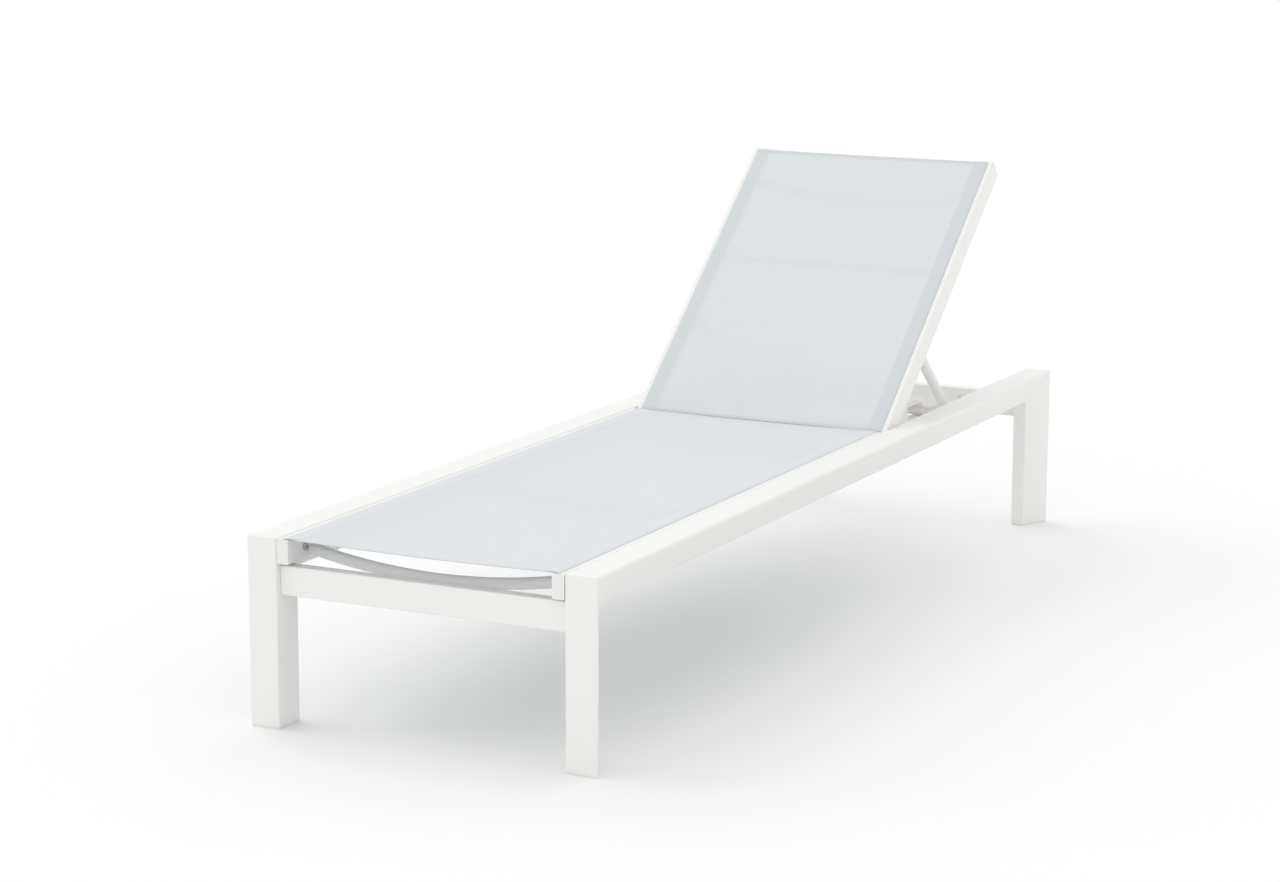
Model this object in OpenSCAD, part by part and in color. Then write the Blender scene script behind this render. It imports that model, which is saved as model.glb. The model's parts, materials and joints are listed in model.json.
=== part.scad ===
// Sun lounger: powder-coated aluminium frame, sling seat and a reclining sling
// backrest held by a prop stay that travels along two notched racks.
// X runs across the lounger, Y from the foot end to the head end, Z up.

/* [Side frames] */
// Length over the side frames
overall_length = 2050; // [1900:10:2300]
// Width over the side frames
overall_width = 650; // [600:5:760]
// Height of the top of the side frames above the ground
rail_top_height = 324; // [280:1:420]
// Width of the broad outer face of the side frame section
section_width = 58; // [50:1:66]
// Depth of the side rails, from their broad top face to their underside
rail_depth = 59; // [54:1:62]
// Depth of the legs along the lounger, from their broad end face inwards
leg_depth = 64; // [56:1:72]
// Width of the narrow inner face of the side frame section
section_narrow_width = 27; // [22:1:34]
// Wall of the side frame section
section_wall = 2; // [1.5:0.25:3]
// Outside corner radius of the side frame section
section_corner_radius = 3; // [2:0.5:5]
// Height of the foot glides
glide_height = 4; // [3:0.5:8]
// Step in from the leg to the foot glide
glide_inset = 1; // [0.5:0.25:2]
// Height of the spigot that holds a glide in its leg
glide_spigot = 12; // [8:1:20]

/* [Crossbeams] */
// Height of the two end crossbeams
beam_height = 50; // [36:1:60]
// Depth of the end crossbeams along the lounger
beam_depth = 25; // [20:1:32]
// Step back from the end of the lounger to the crossbeam
beam_setback = 12; // [6:1:20]
// Gap between the sling rails and the end crossbeams
beam_gap = 5; // [3:0.5:10]
// Rebate round the ends of the end crossbeams
beam_end_rebate = 0.8; // [0.5:0.1:1.2]
// Wall of the crossbeams and the rack crossbar
beam_wall = 2; // [1.5:0.25:3]
// Outside corner radius of the crossbeams
beam_corner_radius = 2.5; // [2:0.25:4]

/* [Sling rails] */
// Width of a sling rail
sling_rail_width = 22; // [20:0.5:26]
// Height of a sling rail
sling_rail_height = 41; // [41:1:50]
// Depth of the top of the sling rails below the top of the side frames
sling_rail_drop = 1; // [0:0.5:4]
// Gap between a sling rail and its side rail
sling_rail_gap = 1; // [0.8:0.1:2]
// Wall of the sling rails
sling_rail_wall = 1.8; // [1.5:0.1:2.5]
// Outside corner radius of the sling rails
sling_rail_corner_radius = 2.2; // [2:0.1:3]
// Diameter of the spline rods that hold the fabric
spline_diameter = 5; // [4:0.25:6]
// Clearance round a spline rod, with the fabric wrapped round it
spline_clearance = 0.7; // [0.5:0.1:1.2]
// Width of the slot that the fabric leaves by
groove_slot_width = 2.6; // [2:0.1:3]
// Thickness of the sling rail end caps
sling_cap_thickness = 2.5; // [2:0.5:4]
// Length of the closed caps at the foot end
foot_cap_length = 19; // [12:1:24]

/* [Seat] */
// Distance from the lounger's foot end to the sling rails
seat_rail_inset = 0.5; // [0.5:0.5:10]
// Distance from the rail end to the fabric at the foot end
seat_fabric_inset = 4; // [4:1:20]
// Thickness of the sling fabric
fabric_thickness = 1.2; // [0.8:0.1:2]
// Sag of the seat fabric at its free edges
seat_edge_sag = 3; // [1:0.5:6]
// Sag of the seat fabric at mid length
seat_middle_sag = 5; // [2:0.5:10]
// Diameter of the bowed spreader tubes
bow_diameter = 20; // [16:1:22]
// Depth of the ends of a seat spreader below the top of the sling rails
seat_bow_depth = 26; // [22:1:28]
// Drop of a seat spreader from its ends to its middle
seat_bow_drop = 26; // [12:1:36]
// Distance from the foot end to the first seat spreader
seat_bow_inset = 69; // [50:1:120]
// Distance from the seat rails' head end to the last seat spreader
seat_bow_head_inset = 62; // [45:1:120]
// Depth of the seat rail bolts below the top of the sling rails
seat_bolt_depth = 20; // [19:0.5:24]

/* [Backrest] */
// Angle of the backrest above the flat
back_angle = 40.4; // [32:0.1:48]
// Distance of the hinge pin from the lounger's head end
hinge_inset = 738; // [700:1:780]
// Depth of the hinge pin below the top of the sling rails
hinge_depth = 32; // [30:0.5:32]
// Distance from the flat backrest to the lounger's head end
back_end_gap = 20; // [15:1:40]
// Length of the back rails before the hinge pin
back_rail_heel = 12; // [10:1:14]
// Distance from the hinge pin to the lower edge of the back fabric
back_fabric_start = 5; // [2:1:12]
// Distance from the upper edge of the back fabric to the rail end
back_fabric_inset = 3; // [3:1:30]
// Sag of the back fabric at its free edges
back_edge_sag = 1.5; // [0.5:0.5:5]
// Sag of the back fabric at mid length
back_middle_sag = 3; // [1:0.5:5]
// Distance from the hinge pin to the straight spreader
back_bar_reach = 423; // [400:1:440]
// Diameter of the straight spreader
back_bar_diameter = 14; // [12:1:14]
// Depth of the straight spreader below the top of the sling rails
back_bar_depth = 13.5; // [13.25:0.25:14]
// Distance from the bowed spreader to the rail end
back_bow_inset = 73; // [50:1:100]
// Depth of the ends of the bowed spreader below the top of the rails
back_bow_depth = 22; // [20:1:24]
// Drop of the bowed spreader from its ends to its middle
back_bow_drop = 44; // [20:1:46]

/* [Prop stay] */
// Distance from the hinge pin to the stay pivot, and length of the stay
stay_length = 262; // [250:1:270]
// Slope of the line that the stay's bar travels along, down to the head end
travel_slope = 0.86; // [0:0.02:1]
// Diameter of the stay tube
stay_diameter = 20; // [18:1:20]
// Bend radius of the stay tube at its centre line
stay_bend_radius = 50; // [40:1:50]
// Length of the stay tube past its pivot
stay_tail = 15; // [13:1:20]
// Gap between the stay tube and the back rail
stay_side_gap = 4.3; // [3:0.1:6]
// Wall of the stay and the spreader tubes
tube_wall = 2; // [1.5:0.25:2.5]

/* [Racks] */
// Lowest backrest angle with a notch, above the flat
low_notch_angle = 17; // [15:1:19]
// Middle backrest angle with a notch
middle_notch_angle = 29; // [27:1:30]
// Highest backrest angle, where the stay meets the stop
highest_angle = 52; // [50:1:56]
// Distance of a rack from the middle of the lounger
rack_offset = 164; // [130:1:164]
// Width of a rack
rack_width = 30; // [24:1:30]
// Wall of a rack, which is cored from below
rack_wall = 3; // [2.5:0.25:4]
// Height of a rack strip
rack_height = 20; // [17:1:21]
// Clearance round the stay as it passes over the notches
rack_clearance = 1; // [0.8:0.1:1.4]
// Depth of the notches
notch_depth = 6; // [4:0.5:8]
// Thickness of the finger over the two highest positions
stop_finger = 8; // [5:0.5:9]
// Length of the end stop in front of the stay
stop_length = 60; // [40:1:70]
// Reach of the finger past the stay at the end stop
stop_reach = 78; // [70:1:84]
// Thickness of the rack feet
rack_foot_thickness = 4; // [3:0.5:6]
// Width of the rack feet
rack_foot_width = 60; // [56:1:66]
// Height of the tails that tie the racks to the rear crossbeam
rack_tail_height = 14; // [12:1:18]
// Depth of the rack crossbar along the lounger
crossbar_depth = 30; // [26:1:36]
// Height of the rack crossbar
crossbar_height = 20; // [18:1:22]
// Gap between the flat backrest and the crossbar and tails below it
crossbar_gap = 2; // [1.5:0.25:3]

/* [Fasteners] */
// Diameter of the main bolts
bolt_diameter = 8; // [6:0.5:8]
// Head diameter of the main bolts
bolt_head_diameter = 13; // [12:0.5:14]
// Head height of the main bolts
bolt_head_height = 4; // [3:0.5:5]
// Hexagon socket width of the main bolts
bolt_socket = 5; // [4:0.5:5]
// Depth of the hexagon sockets
socket_depth = 2.2; // [1.5:0.1:2.5]
// Diameter of the rack screws
screw_diameter = 5; // [4:0.5:5]
// Clearance of a bolt in a fixed hole
hole_clearance = 0.15; // [0.1:0.05:0.3]
// Running clearance of a pin in a bush
running_clearance = 0.08; // [0.04:0.01:0.1]
// Wall of the pivot bushes
bush_wall = 2; // [1.5:0.5:2]
// Flange diameter of the pivot bushes
bush_flange_diameter = 17; // [16:0.5:18]
// Flange thickness of the pivot bushes
bush_flange_thickness = 1.5; // [1:0.25:1.5]
// Side play of a pivot
side_play = 0.3; // [0.2:0.05:0.5]

/* [Hidden] */
$fn = 48;

white_coat = "#f4f5f2";
shaded_coat = "#e9eae6";
fabric_blue_grey = "#d9dfe3";
steel = "#b9bcbe";
nylon = "#e3e3df";
dark_nylon = "#6d7176";

overrun = 1;
sides = [-1, 1];
half_length = overall_length / 2;
half_width = overall_width / 2;
rail_inner = half_width - section_width;

sling_top = rail_top_height - sling_rail_drop;
sling_rail_bottom = sling_top - sling_rail_height;
sling_rail_outer = rail_inner - sling_rail_gap;
sling_rail_inner = sling_rail_outer - sling_rail_width;
sling_rail_centre = (sling_rail_outer + sling_rail_inner) / 2;
groove_diameter = spline_diameter + 2 * spline_clearance;
groove_depth = sling_rail_wall + groove_diameter / 2;
groove_floor = groove_depth + groove_diameter / 2 + sling_rail_wall;

hinge_y = half_length - hinge_inset;
hinge_z = sling_top - hinge_depth;
// The fabric sides of the back rails sweep this far from the hinge pin
heel_sweep = sqrt(pow(back_rail_heel, 2) + pow(hinge_depth, 2));
seat_rail_start = -half_length + seat_rail_inset;
seat_rail_end = hinge_y - heel_sweep - overrun;
seat_fabric_start = seat_rail_start + seat_fabric_inset;
seat_fabric_end = seat_rail_end - overrun;
back_rail_reach = hinge_inset - back_end_gap;
back_bow_reach = back_rail_reach - back_bow_inset;
back_fabric_end = back_rail_reach - back_fabric_inset;

bush_bore = bolt_diameter + 2 * running_clearance;
bush_diameter = bush_bore + 2 * bush_wall;
stay_x = sling_rail_inner - stay_side_gap - stay_diameter / 2;
notch_angles = [0, low_notch_angle, middle_notch_angle, back_angle];
beam_inner_y = half_length - beam_setback - beam_depth;
beam_top = sling_rail_bottom - beam_gap;

// The racks are drawn along the line that the stay's bar travels: Y is the
// distance from the hinge pin and z = 0 is the middle of the bar
function travel(angle) = 2 * stay_length * cos(angle + travel_slope);
rack_top = -stay_diameter / 2 - rack_clearance;
rack_bottom = rack_top - rack_height;
stop_bore = stay_diameter + 2 * rack_clearance;
stop_at = travel(highest_angle);
stop_top = stop_bore / 2 + 2 * stop_finger;
notch_floor = -notch_depth - rack_clearance - (stay_diameter + rack_clearance) / 2;
rack_front = stop_at - stop_bore / 2 - stop_length;
rack_rear = travel(0) + stop_bore / 2 + 2 * rack_wall;
crossbar_y = hinge_y + rack_front - overrun - crossbar_depth / 2;
crossbar_top = sling_rail_bottom - crossbar_gap;
rack_inner = rack_offset - rack_width / 2;
rack_tail_top = sling_top - back_bow_depth - back_bow_drop - bow_diameter / 2 - crossbar_gap
    + bow_rise(back_bow_drop, rack_inner);
rack_tail_z = rack_tail_top - rack_tail_height / 2;

seat_bow_y = seat_rail_start + seat_bow_inset;
seat_bow_head_y = seat_rail_end - seat_bow_head_inset;
seat_bow_middle_y = (seat_bow_y + seat_bow_head_y) / 2;
seat_bow_z = sling_top - seat_bow_depth;
seat_bolt_z = sling_top - seat_bolt_depth;
seat_bolt_clear = bow_diameter / 2 + bolt_head_diameter / 2 + overrun;
seat_bolt_places = [
    seat_bow_y - seat_bolt_clear,
    seat_bow_middle_y - (seat_bow_head_y - seat_bow_y) / 4,
    seat_bow_middle_y + (seat_bow_head_y - seat_bow_y) / 4,
    seat_bow_head_y + seat_bolt_clear
];

// Moves a part drawn flat, with the hinge pin at the origin, to the backrest
module on_back() {
    translate([0, hinge_y, hinge_z]) rotate([back_angle, 0, 0]) children();
}

// Moves a part drawn flat, with the stay pivot at the origin, to the stay
module on_stay() {
    on_back() translate([0, stay_length, 0]) rotate([-2 * (back_angle + travel_slope), 0, 0]) children();
}

// Moves a part drawn along the travel of the stay's bar to its place
module on_travel() {
    translate([0, hinge_y, hinge_z]) rotate([-travel_slope, 0, 0]) children();
}

// Extrudes a section drawn in X and Z from one Y to another
module along_y(from_y, to_y) {
    translate([0, to_y, 0]) rotate([90, 0, 0]) linear_extrude(to_y - from_y) children();
}

// Extrudes a section drawn in Y and Z from one X to another
module along_x(from_x, to_x) {
    translate([from_x, 0, 0]) rotate([90, 0, 90]) linear_extrude(to_x - from_x) children();
}

module rod_x(diameter, from_x, to_x) {
    translate([from_x, 0, 0]) rotate([0, 90, 0]) cylinder(d = diameter, h = to_x - from_x);
}

module rounded_rectangle(width, height, radius) {
    square([width - 2 * radius, height], center = true);
    square([width, height - 2 * radius], center = true);
    for (x = sides, y = sides) {
        translate([x * (width / 2 - radius), y * (height / 2 - radius)]) circle(radius);
    }
}

module tube_section(width, height, wall, radius) {
    difference() {
        rounded_rectangle(width, height, radius);
        square([width - 2 * wall, height - 2 * wall], center = true);
    }
}

// Points of a convex outline, run anticlockwise, with its corners rounded
function unit(v) = v / norm(v);
function edge_normal(a, b) = let (d = unit(b - a)) [d[1], -d[0]];
function corner_arc(before, at, after, radius, steps) =
    let (
        n1 = edge_normal(before, at),
        n2 = edge_normal(at, after),
        centre = at - radius * (n1 + n2) / (1 + n1 * n2),
        start = atan2(n1[1], n1[0]),
        turn = acos(n1 * n2)
    )
    [for (i = [0 : steps]) centre + radius * [cos(start + turn * i / steps), sin(start + turn * i / steps)]];
function rounded_outline(corners, radius, steps = 6) = [
    for (i = [0 : len(corners) - 1])
        each corner_arc(
            corners[(i + len(corners) - 1) % len(corners)], corners[i],
            corners[(i + 1) % len(corners)], radius, steps
        )
];

// A bolt along X with its head at the origin and its shank towards +X
module bolt_x(diameter, length, head_diameter, head_height, socket) {
    difference() {
        union() {
            rod_x(head_diameter, -head_height, 0);
            rod_x(diameter, -head_height / 2, length);
        }
        translate([-head_height - overrun, 0, 0]) rotate([0, 90, 0])
            cylinder(d = socket, h = socket_depth + overrun, $fn = 6);
    }
}

// A flanged bush along X: flange from -flange thickness to 0, sleeve to length
module flanged_bush(bore, outside, flange, flange_thickness, length) {
    difference() {
        union() {
            rod_x(outside, -flange_thickness / 2, length);
            rod_x(flange, -flange_thickness, 0);
        }
        rod_x(bore, -flange_thickness - overrun, length + overrun);
    }
}

// Side frames: a trapezoidal section, mitred at the corners into two legs
// and a side rail, with its broad face outwards all the way round

// Corners of the section for the right side: X across the lounger, and Y in
// from the broad face. The outer side runs in to the narrow face.
function section_corners(depth, inset) = let (
    slant = unit([section_width - section_narrow_width, -depth]),
    push = inset * (1 + abs(slant[0])) / abs(slant[1]),
    pull = inset * (1 - abs(slant[0])) / abs(slant[1])
) [
    [rail_inner + inset, inset],
    [half_width - push, inset],
    [rail_inner + section_narrow_width - pull, depth - inset],
    [rail_inner + inset, depth - inset]
];

module frame_section(depth) {
    difference() {
        polygon(rounded_outline(section_corners(depth, 0), section_corner_radius));
        polygon(section_corners(depth, section_wall));
    }
}

// The mitre runs down from the outer corner of the frame by these amounts
mitre_z = rail_depth + overrun;
mitre_y = leg_depth * mitre_z / rail_depth;

module mirrored(side, end) {
    mirror([side < 0 ? 1 : 0, 0, 0]) mirror([0, end > 0 ? 1 : 0, 0]) children();
}

module side_rail(side) {
    difference() {
        mirrored(side, 1) intersection() {
            translate([0, 0, rail_top_height]) along_y(-half_length, half_length)
                mirror([0, 1]) frame_section(rail_depth);
            along_x(rail_inner - overrun, half_width + overrun) polygon([
                [-half_length, rail_top_height], [-half_length + mitre_y, rail_top_height - mitre_z],
                [half_length - mitre_y, rail_top_height - mitre_z], [half_length, rail_top_height]
            ]);
        }
        for (y = seat_bolt_places) {
            translate([0, y, seat_bolt_z]) wall_hole_x(side, insert_diameter(bolt_diameter));
        }
        translate([0, hinge_y, hinge_z]) wall_hole_x(side, insert_diameter(bolt_diameter));
    }
}

module leg(side, end) {
    mirrored(side, end) intersection() {
        translate([0, -half_length, glide_height])
            linear_extrude(rail_top_height - glide_height) frame_section(leg_depth);
        along_x(rail_inner - overrun, half_width + overrun) polygon([
            [-half_length, glide_height], [-half_length + mitre_y, glide_height],
            [-half_length + mitre_y, rail_top_height - mitre_z], [-half_length, rail_top_height]
        ]);
    }
}

// A hole through the inner wall of a side rail
module wall_hole_x(side, diameter) {
    translate([side * (rail_inner + section_wall / 2), 0, 0])
        rod_x(diameter + 2 * hole_clearance, -section_wall / 2 - overrun, section_wall / 2 + overrun);
}

function insert_diameter(thread) = thread + 2 * bush_wall - 2 * hole_clearance;

// A threaded insert set in a wall that starts at x = 0, seen along +X
module wall_insert(thread, wall) {
    difference() {
        union() {
            rod_x(insert_diameter(thread), 0, 3 * wall + thread / 2);
            rod_x(insert_diameter(thread) + wall, wall, 2 * wall);
        }
        rod_x(thread + 2 * hole_clearance, -overrun, 3 * wall + thread / 2 + overrun);
    }
}

module left_side_rail() { color(white_coat) side_rail(-1); }
module right_side_rail() { color(white_coat) side_rail(1); }

module front_left_leg() { color(white_coat) leg(-1, -1); }
module front_right_leg() { color(white_coat) leg(1, -1); }
module rear_left_leg() { color(white_coat) leg(-1, 1); }
module rear_right_leg() { color(white_coat) leg(1, 1); }

module foot_glides() {
    color(nylon) for (side = sides, end = sides) mirrored(side, end) translate([0, -half_length, 0]) {
        linear_extrude(glide_height)
            polygon(rounded_outline(section_corners(leg_depth, glide_inset), section_corner_radius));
        linear_extrude(glide_height + glide_spigot)
            polygon(section_corners(leg_depth, section_wall + hole_clearance));
    }
}

// An end crossbeam; a rebate round its ends leaves a fine groove at the legs
module crossbeam(end) {
    translate([0, end * (beam_inner_y + beam_depth / 2), beam_top - beam_height / 2]) {
        along_x(-rail_inner + beam_end_rebate, rail_inner - beam_end_rebate)
            tube_section(beam_depth, beam_height, beam_wall, beam_corner_radius);
        along_x(-rail_inner, rail_inner)
            tube_section(beam_depth - 2 * beam_end_rebate, beam_height - 2 * beam_end_rebate,
                         beam_wall - beam_end_rebate, beam_corner_radius - beam_end_rebate);
    }
}

module front_crossbeam() { color(white_coat) crossbeam(-1); }

module rear_crossbeam() {
    color(white_coat) difference() {
        crossbeam(1);
        rack_screw_holes(beam_inner_y, rack_tail_z);
    }
}

// Rack crossbar and racks

rack_screw_spread = rack_foot_width / 2 - screw_diameter - overrun;
rack_screw_length = rack_foot_thickness + 2 * beam_wall + overrun;
rack_foot_front = crossbar_y + crossbar_depth / 2;
rack_foot_rear = beam_inner_y - rack_foot_thickness;

module at_rack_screws() {
    for (side = sides, x = sides) translate([side * rack_offset + x * rack_screw_spread, 0, 0]) children();
}

// Holes along Y through a foot and the wall that it is screwed to
module rack_screw_holes(y, z) {
    reach = rack_foot_thickness + beam_wall + overrun;
    at_rack_screws() translate([0, y, z]) rotate([90, 0, 0])
        cylinder(d = screw_diameter + 2 * hole_clearance, h = 2 * reach, center = true);
}

module rack_crossbar() {
    color(shaded_coat) difference() {
        translate([0, crossbar_y, crossbar_top - crossbar_height / 2])
            along_x(-rail_inner, rail_inner)
                tube_section(crossbar_depth, crossbar_height, beam_wall, beam_corner_radius);
        rack_screw_holes(rack_foot_front, crossbar_top - crossbar_height / 2);
    }
}

// Side view of a rack: a strip with a round notch for each backrest position,
// an end stop, and a finger with a round nose that keeps the stay under it
module rack_profile() {
    difference() {
        union() {
            translate([rack_front, rack_bottom]) square([rack_rear - rack_front, rack_height]);
            translate([rack_front, rack_bottom])
                square([stop_length, stop_top - rack_bottom - stop_finger]);
            translate([rack_front + stop_finger, stop_top - stop_finger])
                square([stop_at + stop_reach - rack_front - 2 * stop_finger, stop_finger]);
            for (y = [rack_front + stop_finger, stop_at + stop_reach - stop_finger]) {
                translate([y, stop_top - stop_finger]) circle(stop_finger);
            }
        }
        for (angle = concat(notch_angles, highest_angle)) {
            translate([travel(angle), -rack_clearance - notch_depth])
                circle(d = stay_diameter + rack_clearance);
        }
    }
}

// Side view of the cores under the strip and inside the end stop
module rack_cores() {
    core_from = rack_front + rack_foot_thickness;
    translate([core_from, rack_bottom - rack_tail_height])
        square([
            rack_rear - 2 * rack_wall - core_from,
            notch_floor - rack_wall - rack_bottom + rack_tail_height
        ]);
    translate([core_from, rack_bottom])
        square([rack_front + stop_length - rack_wall - core_from, stop_top - stop_finger - rack_bottom]);
}

module rack(side) {
    tail_half = rack_width / 2 - overrun;
    tail_y = hinge_y + rack_rear - rack_wall;
    tail_core_y = hinge_y + rack_rear + overrun;
    color(nylon) difference() {
        translate([side * rack_offset, 0, 0]) {
            on_travel() along_x(-rack_width / 2, rack_width / 2) rack_profile();
            translate([-tail_half, tail_y, rack_tail_top - rack_tail_height])
                cube([2 * tail_half, beam_inner_y - tail_y, rack_tail_height]);
            translate([-rack_foot_width / 2, rack_foot_rear, rack_tail_top - rack_tail_height])
                cube([rack_foot_width, rack_foot_thickness, rack_tail_height]);
            translate([-rack_foot_width / 2, rack_foot_front, crossbar_top - crossbar_height])
                cube([rack_foot_width, rack_foot_thickness, crossbar_height]);
        }
        translate([side * rack_offset, 0, 0]) {
            on_travel() along_x(-rack_width / 2 + rack_wall, rack_width / 2 - rack_wall) rack_cores();
            translate([-tail_half + rack_wall, tail_core_y, rack_tail_top - rack_tail_height - overrun])
                cube([2 * tail_half - 2 * rack_wall, rack_foot_rear - tail_core_y,
                      rack_tail_height - rack_wall + overrun]);
        }
        rack_screw_holes(rack_foot_front, crossbar_top - crossbar_height / 2);
        rack_screw_holes(beam_inner_y, rack_tail_z);
    }
}

module left_rack() { rack(-1); }
module right_rack() { rack(1); }

module rack_screw(y, z, end) {
    translate([0, y, z]) rotate([0, 0, end * 90])
        bolt_x(screw_diameter, rack_screw_length, 2 * screw_diameter - overrun,
               screw_diameter / 2, screw_diameter / 2 + overrun / 2);
}

module rack_screws() {
    color(steel) at_rack_screws() {
        rack_screw(rack_foot_front + rack_foot_thickness, crossbar_top - crossbar_height / 2, -1);
        rack_screw(rack_foot_rear, rack_tail_z, 1);
    }
}

// Sling rails, shared by the seat and the backrest. The section has its
// origin at the middle of the rail's top face.

module sling_rail_section() {
    difference() {
        translate([0, -sling_rail_height / 2])
            rounded_rectangle(sling_rail_width, sling_rail_height, sling_rail_corner_radius);
        translate([-sling_rail_width / 2 + sling_rail_wall, -sling_rail_height + sling_rail_wall])
            square([
                sling_rail_width - 2 * sling_rail_wall,
                sling_rail_height - sling_rail_wall - groove_floor
            ]);
        translate([0, -groove_depth]) circle(d = groove_diameter);
        translate([-groove_slot_width / 2, -groove_depth])
            square([groove_slot_width, groove_depth + overrun]);
    }
}

module sling_cap_section() {
    difference() {
        translate([0, -sling_rail_height / 2])
            rounded_rectangle(sling_rail_width, sling_rail_height, sling_rail_corner_radius);
        translate([0, -groove_depth]) circle(d = groove_diameter);
        translate([-groove_slot_width / 2, -groove_depth])
            square([groove_slot_width, groove_depth + overrun]);
    }
}

// The spigot that holds an end cap in its rail
module sling_cap_spigot(from_y) {
    inset = sling_rail_wall + hole_clearance;
    along_y(from_y, from_y + 4 * sling_cap_thickness + overrun)
        translate([-sling_rail_width / 2 + inset, -sling_rail_height + inset])
            square([
                sling_rail_width - 2 * inset,
                sling_rail_height - 2 * inset + sling_rail_wall - groove_floor
            ]);
}

// An end cap with the groove open; outward is -1 or 1 along Y
module sling_cap(end_y, outward) {
    cap_from = outward < 0 ? end_y : end_y - sling_cap_thickness;
    along_y(cap_from, cap_from + sling_cap_thickness) sling_cap_section();
    sling_cap_spigot(
        outward < 0 ? cap_from + sling_cap_thickness - overrun : cap_from - 4 * sling_cap_thickness
    );
}

// A long cap for the foot end, with a plate that closes the groove
module foot_cap(end_y) {
    along_y(end_y, end_y + sling_cap_thickness) translate([0, -sling_rail_height / 2])
        rounded_rectangle(sling_rail_width, sling_rail_height, sling_rail_corner_radius);
    along_y(end_y + sling_cap_thickness, end_y + foot_cap_length) sling_cap_section();
    sling_cap_spigot(end_y + foot_cap_length - overrun);
}

module seat_rail(side) {
    difference() {
        translate([side * sling_rail_centre, 0, sling_top])
            along_y(seat_rail_start + foot_cap_length, seat_rail_end - sling_cap_thickness)
                sling_rail_section();
        for (y = seat_bolt_places) {
            translate([0, y, seat_bolt_z]) rail_bore_x(side, bolt_diameter + 2 * hole_clearance);
        }
    }
}

// A bore right through a sling rail
module rail_bore_x(side, diameter) {
    translate([side * sling_rail_centre, 0, 0])
        rod_x(diameter, -sling_rail_width / 2 - overrun, sling_rail_width / 2 + overrun);
}

module left_seat_rail() { color(white_coat) seat_rail(-1); }
module right_seat_rail() { color(white_coat) seat_rail(1); }

module seat_rail_caps() {
    color(white_coat) for (side = sides) translate([side * sling_rail_centre, 0, sling_top]) {
        foot_cap(seat_rail_start);
        sling_cap(seat_rail_end, 1);
    }
}

// Radius of a bow between the sling rails, and its rise from the middle to x
function bow_radius(drop) = (pow(sling_rail_inner, 2) + pow(drop, 2)) / (2 * drop);
function bow_rise(drop, x) = bow_radius(drop) - sqrt(pow(bow_radius(drop), 2) - pow(x, 2));

// A bowed spreader tube between the sling rails, with its ends at z = 0 and
// its middle a drop below
module bow(drop, diameter) {
    bend = bow_radius(drop);
    reach = asin((sling_rail_inner + diameter) / bend);
    difference() {
        intersection() {
            bow_sweep(bend, drop, reach, diameter);
            cube([2 * sling_rail_inner, 2 * diameter, 4 * (drop + diameter)], center = true);
        }
        bow_sweep(bend, drop, reach, diameter - 2 * tube_wall);
    }
}

module bow_sweep(bend, drop, reach, diameter) {
    translate([0, 0, bend - drop]) rotate([90, 0, 0]) rotate([0, 0, -90 - reach])
        rotate_extrude(angle = 2 * reach, $fn = 240) translate([bend, 0]) circle(d = diameter, $fn = 48);
}

module seat_bow(y) { translate([0, y, seat_bow_z]) bow(seat_bow_drop, bow_diameter); }
module seat_foot_bow() { color(shaded_coat) seat_bow(seat_bow_y); }
module seat_middle_bow() { color(shaded_coat) seat_bow(seat_bow_middle_y); }
module seat_head_bow() { color(shaded_coat) seat_bow(seat_bow_head_y); }

module seat_splines() {
    color(dark_nylon) for (side = sides) translate([side * sling_rail_centre, 0, sling_top - groove_depth])
        along_y(seat_rail_start + sling_cap_thickness + side_play, seat_rail_end - overrun)
            circle(d = spline_diameter);
}

// A stretched sheet between two sling rails that sags between them, with
// its top edge at z = 0 over the rails and Y running from one end to the other
module sling_sheet(from_y, to_y, edge_sag, middle_sag) {
    columns = 12;
    rows = 12;
    lift = side_play;
    xs = [for (i = [-1 : columns + 1])
        i < 0 ? -sling_rail_centre
        : i > columns ? sling_rail_centre
        : sling_rail_inner * (2 * i / columns - 1)];
    ys = [for (j = [0 : rows]) from_y + (to_y - from_y) * j / rows];
    function sag(j) = edge_sag + (middle_sag - edge_sag) * (1 - pow(2 * j / rows - 1, 2));
    function drop(x) = abs(x) >= sling_rail_inner ? 0 : 1 - pow(x / sling_rail_inner, 2);
    across = len(xs);
    lower = [for (j = [0 : rows], x = xs) [x, ys[j], lift - sag(j) * drop(x)]];
    upper = [for (p = lower) p + [0, 0, fabric_thickness]];
    count = len(lower);
    function at(i, j) = i + across * j;
    faces = concat(
        [for (j = [0 : rows - 1], i = [0 : across - 2]) each [
            [at(i, j), at(i + 1, j), at(i, j + 1)],
            [at(i + 1, j), at(i + 1, j + 1), at(i, j + 1)],
            [count + at(i, j), count + at(i, j + 1), count + at(i + 1, j)],
            [count + at(i + 1, j), count + at(i, j + 1), count + at(i + 1, j + 1)]
        ]],
        [for (i = [0 : across - 2]) each [
            [at(i, 0), count + at(i, 0), at(i + 1, 0)],
            [at(i + 1, 0), count + at(i, 0), count + at(i + 1, 0)],
            [at(i, rows), at(i + 1, rows), count + at(i, rows)],
            [at(i + 1, rows), count + at(i + 1, rows), count + at(i, rows)]
        ]],
        [for (j = [0 : rows - 1]) each [
            [at(0, j), at(0, j + 1), count + at(0, j)],
            [at(0, j + 1), count + at(0, j + 1), count + at(0, j)],
            [at(across - 1, j), count + at(across - 1, j), at(across - 1, j + 1)],
            [at(across - 1, j + 1), count + at(across - 1, j), count + at(across - 1, j + 1)]
        ]]
    );
    polyhedron(concat(lower, upper), faces);
}

module seat_sling() {
    color(fabric_blue_grey) translate([0, 0, sling_top])
        sling_sheet(seat_fabric_start, seat_fabric_end, seat_edge_sag, seat_middle_sag);
}

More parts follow.
